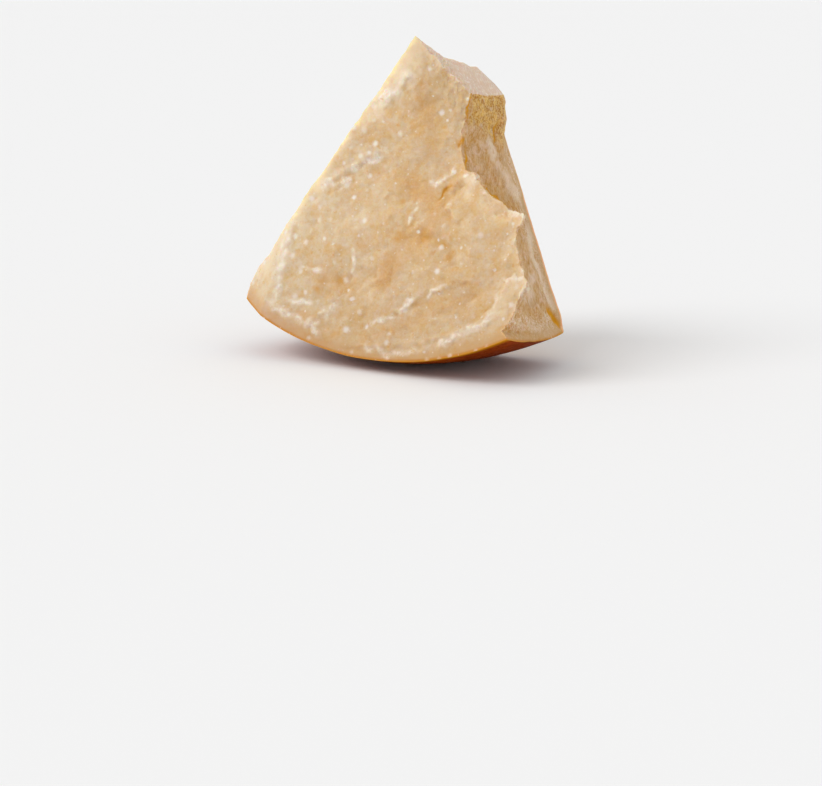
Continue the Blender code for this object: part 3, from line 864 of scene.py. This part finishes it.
def chunk_surface():
    """The fine chunk in wheel coordinates, with what its colours depend on as attributes."""
    points, quads, looks = weld(faces(*GRID))
    on_curve = np.hypot(points[:, 0], points[:, 2]) > rind_radius(points[:, 1]) - 0.01
    on_flat = points[:, 1] > THICKNESS - 0.01
    lower_left_facet(points)
    tuck_behind_flake(points)
    fill_above_foot(points)
    break_surface(points, looks)
    hold_rinds(points, on_curve, on_flat)
    mesh = bpy.data.meshes.new("fine_chunk")
    mesh.vertices.add(len(points))
    mesh.vertices.foreach_set("co", points.astype(np.float32).ravel())
    mesh.loops.add(quads.size)
    mesh.loops.foreach_set("vertex_index", quads.astype(np.int32).ravel())
    mesh.polygons.add(len(quads))
    mesh.polygons.foreach_set("loop_start", np.arange(0, quads.size, 4, dtype=np.int32))
    mesh.update(calc_edges=True)
    for name, values in looks.items():
        layer = mesh.attributes.new(name, "FLOAT", "POINT")
        layer.data.foreach_set("value", values.astype(np.float32))
    return mesh


def thin_out(source, triangles):
    """Keeps the triangles where the surface bends, and joins them where it is smooth."""
    helper = bpy.data.objects.new("helper", source)
    bpy.context.scene.collection.objects.link(helper)
    fewer = helper.modifiers.new("fewer", "DECIMATE")
    fewer.ratio = min(1.0, triangles / (2 * len(source.polygons)))
    bpy.context.view_layer.update()
    evaluated = helper.evaluated_get(bpy.context.evaluated_depsgraph_get())
    thinned = bmesh.new()
    thinned.from_mesh(evaluated.data)
    bpy.data.objects.remove(helper)
    return thinned


def stand(mesh):
    """Leans the chunk back, cuts a small flat where it rests, and sets it in the solid's box."""
    mesh.transform(Matrix.Rotation(-LEAN, 4, "X"))
    floor = min(vert.co.z for vert in mesh.verts) + REST_CUT
    everything = list(mesh.verts) + list(mesh.edges) + list(mesh.faces)
    bmesh.ops.bisect_plane(
        mesh, geom=everything, plane_co=(0, 0, floor), plane_no=(0, 0, 1), clear_inner=True
    )
    rim = [edge for edge in mesh.edges if edge.is_boundary]
    bmesh.ops.contextual_create(mesh, geom=rim)
    middle = []
    for axis in (0, 1):
        values = [vert.co[axis] for vert in mesh.verts]
        solid = (cad_box[0][axis] + cad_box[1][axis]) / 2 / MILLIMETRE
        middle.append((min(values) + max(values)) / 2 - solid)
    bmesh.ops.translate(mesh, verts=mesh.verts, vec=(-middle[0], -middle[1], -floor))
    bmesh.ops.scale(mesh, verts=mesh.verts, vec=[MILLIMETRE] * 3)
    bmesh.ops.recalc_face_normals(mesh, faces=mesh.faces)


class Material:
    """A small helper that builds a node material line by line."""

    def __init__(self, name):
        self.material = bpy.data.materials.new(name)
        self.material.use_nodes = True
        self.tree = self.material.node_tree
        self.shader = self.tree.nodes["Principled BSDF"]
        self.place = self.add("ShaderNodeTexCoord").outputs["Object"]

    def add(self, kind, inputs=(), **settings):
        node = self.tree.nodes.new(kind)
        for name, value in settings.items():
            setattr(node, name, value)
        for name, value in dict(inputs).items():
            self.put(node.inputs[name], value)
        return node

    def put(self, socket, value):
        if isinstance(value, bpy.types.NodeSocket):
            self.tree.links.new(value, socket)
        else:
            socket.default_value = value

    def noise(self, scale, detail=3.0, rough=0.5, place=None, distortion=0.0):
        inputs = {
            "Vector": place or self.place,
            "Scale": scale,
            "Detail": detail,
            "Roughness": rough,
            "Distortion": distortion,
        }
        return self.add("ShaderNodeTexNoise", inputs).outputs["Fac"]

    def ramp(self, value, low, high, start=0.0, end=1.0):
        """Maps low to start and high to end, smoothly, and holds outside them."""
        inputs = {"Value": value, 1: low, 2: high, 3: start, 4: end}
        node = self.add("ShaderNodeMapRange", inputs, interpolation_type="SMOOTHSTEP")
        return node.outputs["Result"]

    def mix(self, factor, first, second, blend="MIX"):
        node = self.add("ShaderNodeMix", data_type="RGBA", blend_type=blend)
        for index, value in ((0, factor), (6, first), (7, second)):
            self.put(node.inputs[index], value)
        return node.outputs[2]

    def math(self, operation, first, second=0.0):
        node = self.add("ShaderNodeMath", {0: first, 1: second}, operation=operation)
        return node.outputs[0]

    def times(self, first, second):
        return self.math("MULTIPLY", first, second)

    def stain(self, body, stain, value, low, high, start=0.0, end=1.0):
        """Mixes a colour into the body, by start where the value is low and by end where it's high."""
        return self.mix(self.ramp(value, low, high, start, end), body, stain)

    def attribute(self, name):
        return self.add("ShaderNodeAttribute", attribute_name=name).outputs["Fac"]

    def bump(self, height, distance, strength=1.0):
        inputs = {"Height": height, "Distance": distance, "Strength": strength}
        self.put(self.shader.inputs["Normal"], self.add("ShaderNodeBump", inputs).outputs[0])

    def let_light_in(self, weight, radius, scale):
        self.shader.inputs["Subsurface Weight"].default_value = weight
        self.shader.inputs["Subsurface Radius"].default_value = radius
        self.shader.inputs["Subsurface Scale"].default_value = scale


def crystals(made, size, smallest, largest):
    """White specks of uneven size in the paste, each 0 to 1: about one to a cell of this size."""
    shaken = made.add("ShaderNodeTexNoise", {"Vector": made.place, "Scale": 700.0, "Detail": 2.0})
    bent = made.add("ShaderNodeVectorMath", {0: shaken.outputs["Color"]}, operation="SCALE")
    bent.inputs["Scale"].default_value = 0.0016
    place = made.add("ShaderNodeVectorMath", {0: made.place, 1: bent.outputs[0]}, operation="ADD")
    inputs = {"Vector": place.outputs[0], "Scale": 1 / size, "Randomness": 1.0}
    cells = made.add("ShaderNodeTexVoronoi", inputs)
    draw = made.add("ShaderNodeSeparateColor", {"Color": cells.outputs["Color"]})
    uneven = made.math("POWER", draw.outputs[0], 1.6)
    radius = made.ramp(uneven, 0.0, 1.0, smallest / size, largest / size)
    whiteness = made.ramp(draw.outputs[1], 0.0, 1.0, 0.6, 1.0)
    return made.ramp(cells.outputs["Distance"], made.times(radius, 0.25), radius, whiteness, 0.0)


def fibre_places(made, reach_way, depth_way):
    """Coordinates squeezed along one way down the right side, so that noise turns to streaks."""
    side = (math.sin(RIGHT_SIDE), 0.0, -math.cos(RIGHT_SIDE))
    way = Vector((side[0] * reach_way, depth_way, side[2] * reach_way)).normalized()
    way.rotate(Matrix.Rotation(-LEAN, 3, "X"))
    along_way = made.add("ShaderNodeVectorMath", {0: made.place, 1: way}, operation="DOT_PRODUCT")
    squeeze = made.times(along_way.outputs["Value"], -FIBRE_SQUEEZE)
    back = made.add("ShaderNodeVectorMath", {0: way}, operation="SCALE")
    made.put(back.inputs["Scale"], squeeze)
    added = made.add("ShaderNodeVectorMath", {0: made.place, 1: back.outputs[0]}, operation="ADD")
    return added.outputs[0]


def paste_textures(made):
    """The noises and attributes that several colours of the paste are worked out from."""
    tone = made.attribute("tone")
    return {
        "middling": made.noise(95.0, 4.0, 0.6),
        "small": made.noise(260.0, 3.0, 0.6),
        "grain": made.noise(700.0, 4.0, 0.7),
        "streaks": made.noise(800.0, 3.0, 0.6, place=fibre_places(made, *FIBRE_WAY)),
        "depth": made.attribute("under_rind"),
        "paler": made.ramp(tone, 0.0, 1.0),
        "deeper": made.ramp(tone, -1.0, 0.0, 1.0, 0.0),
    }


def front_colours(made, look):
    broad = made.noise(24.0, 3.0, 0.5, distortion=0.4)
    patches = made.noise(46.0, 4.0, 0.55, distortion=0.6)
    body = made.stain(FRONT_TAN, FRONT_PINK, broad, 0.38, 0.62)
    # Painted light: the front paler towards the left.
    body = made.mix(made.times(made.attribute("pale"), 0.7), body, PAINTED_LEFT_LIGHT)
    body = made.stain(body, FRONT_DEEP, patches, 0.5, 0.66, 0.0, 0.4)
    body = made.stain(body, FRONT_LIGHT, patches, 0.34, 0.48, 0.35, 0.0)
    body = made.stain(body, STRAW, look["middling"], 0.46, 0.66, 0.0, 0.5)
    body = made.stain(body, STRAW, look["small"], 0.45, 0.62, 0.0, 0.28)
    body = made.stain(body, CREAM, look["small"], 0.36, 0.5, 0.25, 0.0)
    body = made.mix(made.times(look["deeper"], 0.85), body, FRONT_DEEP)
    return made.mix(made.times(look["paler"], 0.85), body, FRONT_LIGHT)


def flank_colours(made, look):
    mottled = made.noise(150.0, 4.0, 0.65, distortion=0.5)
    swirls = made.noise(190.0, 3.0, 0.6, distortion=1.6)
    swirls = made.math("ABSOLUTE", made.math("SUBTRACT", swirls, 0.5))
    swirls = made.ramp(swirls, 0.0, 0.04, 0.85, 0.0)
    near_rinds = made.ramp(look["depth"], 0.014, 0.024, 1.0, 0.0)
    body = made.stain(SIDE_TAN, SIDE_BROWN, look["middling"], 0.4, 0.6)
    body = made.stain(body, SIDE_DEEP, look["small"], 0.46, 0.6, 0.0, 0.65)
    body = made.stain(body, SIDE_DEEP, mottled, 0.5, 0.62, 0.0, 0.7)
    body = made.stain(body, SIDE_PINK, mottled, 0.36, 0.5, 0.8, 0.0)
    body = made.mix(made.times(look["deeper"], 0.85), body, SIDE_DEEP)
    body = made.mix(made.times(look["paler"], 0.75), body, SIDE_LIGHT)
    body = made.stain(body, SIDE_FIBRE, look["streaks"], 0.44, 0.62, 0.0, 0.45)
    body = made.stain(body, SIDE_BROWN, look["streaks"], 0.36, 0.46, 0.4, 0.0)
    return made.mix(made.times(swirls, near_rinds), body, SIDE_LIGHT)


def knob_colours(made, look):
    lumps = made.noise(170.0, 5.0, 0.7)
    veins = made.noise(330.0, 4.0, 0.65, place=fibre_places(made, *KNOB_WAY))
    body = made.stain(KNOB_AMBER, KNOB_TAN, lumps, 0.4, 0.6)
    body = made.stain(body, KNOB_TAN, veins, 0.42, 0.6, 0.0, 0.35)
    body = made.stain(body, KNOB_AMBER, look["small"], 0.5, 0.62, 0.0, 0.6)
    body = made.stain(body, SIDE_FIBRE, look["streaks"], 0.52, 0.66, 0.0, 0.25)
    body = made.stain(body, KNOB_LIGHT, look["grain"], 0.46, 0.58, 0.0, 0.6)
    return made.stain(body, KNOB_AMBER, look["grain"], 0.38, 0.48, 0.5, 0.0)


def add_marks(made, look, body, side, roof):
    """Crumbs, amber cracks and spots, amber specks as painted shade in small pits, the painted glow of
    the left edge, pink edges, and crystals on top of the paste.
    """
    broken = made.ramp(made.noise(380.0, 5.0, 0.7), 0.38, 0.58, 0.45, 1.0)
    white = made.ramp(made.attribute("white"), 0.05, 1.0, 0.0, 0.8)
    body = made.mix(made.times(white, broken), body, CRUMB_WHITE)
    # Painted shade: amber specks standing for the shade in small pits.
    pit_shade = made.ramp(made.noise(210.0, 4.0, 0.6), 0.62, 0.72, 0.0, 0.45)
    pit_shade = made.times(pit_shade, made.math("SUBTRACT", 1.0, roof))
    uneven = made.ramp(look["middling"], 0.3, 0.5, 0.6, 1.0)
    amber = made.times(made.attribute("amber"), uneven)
    shallow = made.ramp(amber, 0.05, 0.7, 0.0, 0.75)
    body = made.mix(made.math("MAXIMUM", shallow, pit_shade), body, AMBER)
    darkest = made.mix(side, DEEP_AMBER, SIDE_AMBER)
    body = made.stain(body, darkest, amber, 0.5, 0.9, 0.0, 0.9)
    body = made.stain(body, RIND_EDGE, look["depth"], 0.0004, 0.0026, 0.9, 0.0)
    # Painted glow: the left edge of the front lightened.
    lit_edge = made.ramp(look["middling"], 0.35, 0.6, 0.3, 0.9)
    body = made.mix(made.times(made.attribute("edge_glow"), lit_edge), body, PAINTED_GLOW)
    skin = made.ramp(made.attribute("crust"), 0.1, 0.9)
    body = made.mix(made.times(skin, made.attribute("right")), body, SILHOUETTE_PINK)
    tiny = made.times(crystals(made, *TINY_CRYSTALS), 0.65)
    specks = made.math("MAXIMUM", crystals(made, *CRYSTALS), tiny)
    specks = made.times(specks, made.ramp(side, 0.0, 1.0, 0.9, 0.3))
    return made.mix(specks, body, CRYSTAL)


def paste_material():
    made = Material("cheese_paste")
    look = paste_textures(made)
    grain = look["grain"]
    relief = made.attribute("relief")
    sides = made.math("MAXIMUM", made.attribute("right"), made.attribute("left"))
    side = made.math("GREATER_THAN", sides, 0.5)
    roof = made.math("GREATER_THAN", made.attribute("chip"), 0.5)
    knob = made.times(made.attribute("knob"), made.attribute("right"))

    flank = made.mix(knob, flank_colours(made, look), knob_colours(made, look))
    body = made.mix(side, front_colours(made, look), flank)
    body = made.stain(body, CREAM, grain, 0.42, 0.6, 0.0, 0.24)
    body = made.stain(body, STRAW, grain, 0.36, 0.48, 0.2, 0.0)
    # Painted shade: the hollows of the relief tinted amber.
    body = made.stain(body, AMBER, relief, 0.05, 0.8, 0.0, 0.3)
    crest = made.ramp(relief, -0.8, -0.15, 0.12, 0.0)
    inside = made.ramp(look["depth"], 0.002, 0.008)
    body = made.mix(made.times(crest, inside), body, CRUMB_WHITE)
    top = made.stain(ROOF_PINK, ROOF_WHITE, look["streaks"], 0.48, 0.66, 0.0, 0.55)
    body = made.mix(roof, body, top)
    # The band under the rind also shifts pinker towards the left with the painted light.
    band = made.mix(made.attribute("pale"), BAND_ORANGE, BAND_PINK)
    body = made.stain(body, band, look["depth"], 0.002, 0.014, 0.7, 0.0)
    body = add_marks(made, look, body, side, roof)
    height = made.add("ShaderNodeSeparateXYZ", {"Vector": made.place}).outputs["Z"]
    low = made.times(made.ramp(height, 0.0, 0.12, 1.0, 0.0), made.math("SUBTRACT", 1.0, side))
    body = made.mix(low, body, LOW_SHADE, blend="MULTIPLY")

    made.put(made.shader.inputs["Base Color"], body)
    made.put(made.shader.inputs["Roughness"], made.ramp(grain, 0.3, 0.7, 0.5, 0.7))
    made.shader.inputs["Specular IOR Level"].default_value = 0.12
    made.let_light_in(0.7, (1.0, 0.6, 0.25), 0.005)
    inputs = {"Vector": made.place, "Scale": 520.0}
    granules = made.add("ShaderNodeTexVoronoi", inputs, feature="SMOOTH_F1")
    lumps = made.times(granules.outputs["Distance"], -0.8)
    fibrous = made.times(made.times(side, look["streaks"]), 3.5)
    rise = made.math("ADD", made.math("ADD", lumps, fibrous), grain)
    made.bump(rise, 0.0005, 0.28)
    return made.material


def curved_rind_material():
    made = Material("curved_rind")
    broad = made.noise(16.0, 4.0, 0.6)
    fine = made.noise(240.0, 4.0, 0.6)
    from_edge = made.attribute("from_edge")
    # The rind is golden only along the front's foot and dark brown further back, partly its own brown
    # and partly painted shade under the chunk.
    body = made.stain(RIND_BROWN, RIND_DARK, broad, 0.35, 0.65)
    body = made.stain(body, RIND_SPECK, fine, 0.42, 0.62, 0.0, 0.6)
    body = made.stain(body, RIND_GOLD, from_edge, 0.001, 0.007, 0.9, 0.0)
    made.put(made.shader.inputs["Base Color"], body)
    made.put(made.shader.inputs["Roughness"], made.ramp(fine, 0.3, 0.7, 0.5, 0.65))
    made.shader.inputs["Specular IOR Level"].default_value = 0.02
    made.let_light_in(0.15, (1.0, 0.5, 0.2), 0.003)
    made.bump(fine, 0.0005, 0.6)
    return made.material


def flat_rind_material():
    made = Material("flat_rind")
    broad = made.noise(20.0, 4.0, 0.6)
    fine = made.noise(300.0, 4.0, 0.6)
    body = made.stain(SKIN_TAN, SKIN_BROWN, broad, 0.35, 0.65)
    body = made.stain(body, SKIN_SPECK, fine, 0.5, 0.75, 0.0, 0.4)
    made.put(made.shader.inputs["Base Color"], body)
    made.put(made.shader.inputs["Roughness"], made.ramp(fine, 0.3, 0.7, 0.42, 0.6))
    made.let_light_in(0.25, (1.0, 0.5, 0.2), 0.004)
    made.bump(fine, 0.0005, 0.6)
    return made.material


def read_points(mesh, name):
    values = np.empty(len(mesh.vertices), dtype=np.float32)
    mesh.attributes[name].data.foreach_get("value", values)
    return values


def relief_of(mesh, rounds):
    """How far each point lies below (above 0) or above (below 0) the smoothed surface, in metres."""
    count = len(mesh.vertices)
    points = np.empty(count * 3, dtype=np.float32)
    mesh.vertices.foreach_get("co", points)
    points = points.reshape(-1, 3).astype(float)
    normals = np.empty(count * 3, dtype=np.float32)
    mesh.vertices.foreach_get("normal", normals)
    edges = np.empty(len(mesh.edges) * 2, dtype=np.int32)
    mesh.edges.foreach_get("vertices", edges)
    first, second = edges.reshape(-1, 2).T
    neighbours = np.bincount(edges, minlength=count)
    smooth = points
    for _ in range(rounds):
        total = np.empty_like(points)
        for axis in range(3):
            total[:, axis] = np.bincount(first, smooth[second, axis], count)
            total[:, axis] += np.bincount(second, smooth[first, axis], count)
        smooth = total / neighbours[:, None]
    return np.sum((smooth - points) * normals.reshape(-1, 3), axis=1)


def write_layer(mesh, name, values):
    layers = mesh.verts.layers.float
    if name not in layers.keys():
        layers.new(name)
    layer = layers[name]
    for vert, value in zip(mesh.verts, values):
        vert[layer] = value


def mark_rinds(mesh):
    """Notes how deep each point lies under a rind, how far from the front's foot, and the flat rind."""
    places = np.array([vert.co for vert in mesh.verts])
    foot = [(math.radians(angle) * WHEEL_RADIUS, y) for angle, y in FOOT_FRONT]
    round_wheel = np.arctan2(places[:, 0], -places[:, 2]) * WHEEL_RADIUS
    from_front, _ = from_path(round_wheel, places[:, 1], foot)
    write_layer(mesh, "under_rind", below_rinds(places) * MILLIMETRE)
    write_layer(mesh, "from_edge", np.abs(from_front) * MILLIMETRE)
    write_layer(mesh, "back", (places[:, 1] > THICKNESS - 0.02).astype(float))


def set_slots(data):
    """The paste takes slot 0, the curved rind slot 1 and the flat rind slot 2."""
    corners = np.empty(len(data.loops), dtype=np.int32)
    data.loops.foreach_get("vertex_index", corners)
    starts = np.empty(len(data.polygons), dtype=np.int32)
    data.polygons.foreach_get("loop_start", starts)
    curve = np.minimum.reduceat(read_points(data, "rind")[corners], starts) > 0.5
    flat = np.minimum.reduceat(read_points(data, "back")[corners], starts) > 0.5
    slots = np.where(flat, 2, np.where(curve, 1, 0)).astype(np.int32)
    data.polygons.foreach_set("material_index", slots)


def make_chunk():
    mesh = thin_out(chunk_surface(), TRIANGLES)
    bmesh.ops.triangulate(mesh, faces=mesh.faces)
    mark_rinds(mesh)
    stand(mesh)
    data = bpy.data.meshes.new("chunk")
    mesh.to_mesh(data)
    for made in (paste_material(), curved_rind_material(), flat_rind_material()):
        data.materials.append(made)
    relief = np.clip(relief_of(data, RELIEF_ROUNDS) / RELIEF_DEPTH, -1, 1)
    layer = data.attributes.new("relief", "FLOAT", "POINT")
    layer.data.foreach_set("value", relief.astype(np.float32))
    set_slots(data)
    data.polygons.foreach_set("use_smooth", np.ones(len(data.polygons), dtype=bool))
    data.set_sharp_from_angle(angle=math.radians(50))
    chunk = bpy.data.objects.new("chunk", data)
    bpy.context.scene.collection.objects.link(chunk)
    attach(chunk, "root")
    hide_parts("cheese_chunk")
    return chunk


def make_floor():
    data = bpy.data.meshes.new("floor")
    corners = [(FLOOR_REACH * x, FLOOR_REACH * y, 0) for x, y in ((-1, -1), (1, -1), (1, 1), (-1, 1))]
    data.from_pydata(corners, [], [(0, 1, 2, 3)])
    made = Material("floor")
    made.shader.inputs["Base Color"].default_value = (FLOOR_GREY, FLOOR_GREY, FLOOR_GREY, 1)
    made.shader.inputs["Roughness"].default_value = 0.9
    made.shader.inputs["Specular IOR Level"].default_value = 0.1
    data.materials.append(made.material)
    floor = bpy.data.objects.new("floor", data)
    bpy.context.scene.collection.objects.link(floor)


def make_lights():
    world = bpy.data.worlds.new("studio")
    world.use_nodes = True
    world.node_tree.nodes["Background"].inputs["Color"].default_value = (1.0, 1.0, 1.0, 1)
    world.node_tree.nodes["Background"].inputs["Strength"].default_value = WORLD_LIGHT
    bpy.context.scene.world = world
    sun = bpy.data.lights.new("key", "SUN")
    sun.energy = KEY_POWER
    sun.angle = math.radians(KEY_SPREAD)
    light = bpy.data.objects.new("key", sun)
    light.rotation_euler = (-Vector(KEY_FROM)).to_track_quat("-Z", "Y").to_euler()
    bpy.context.scene.collection.objects.link(light)


def make_camera():
    data = bpy.data.cameras.new("camera")
    data.lens = CAMERA_LENS
    data.sensor_width = 36.0
    data.clip_end = 500.0
    camera = bpy.data.objects.new("camera", data)
    turn = Matrix.Rotation(math.radians(CAMERA_AZIMUTH), 4, "Z")
    tilt = Matrix.Rotation(math.radians(90 + CAMERA_PITCH), 4, "X")
    roll = Matrix.Rotation(math.radians(CAMERA_ROLL), 4, "Z")
    camera.matrix_world = Matrix.Translation(CAMERA_AT) @ turn @ tilt @ roll
    bpy.context.scene.collection.objects.link(camera)
    bpy.context.scene.camera = camera


make_camera()
make_lights()
make_floor()
make_chunk()
bpy.context.scene.view_settings.view_transform = "Standard"
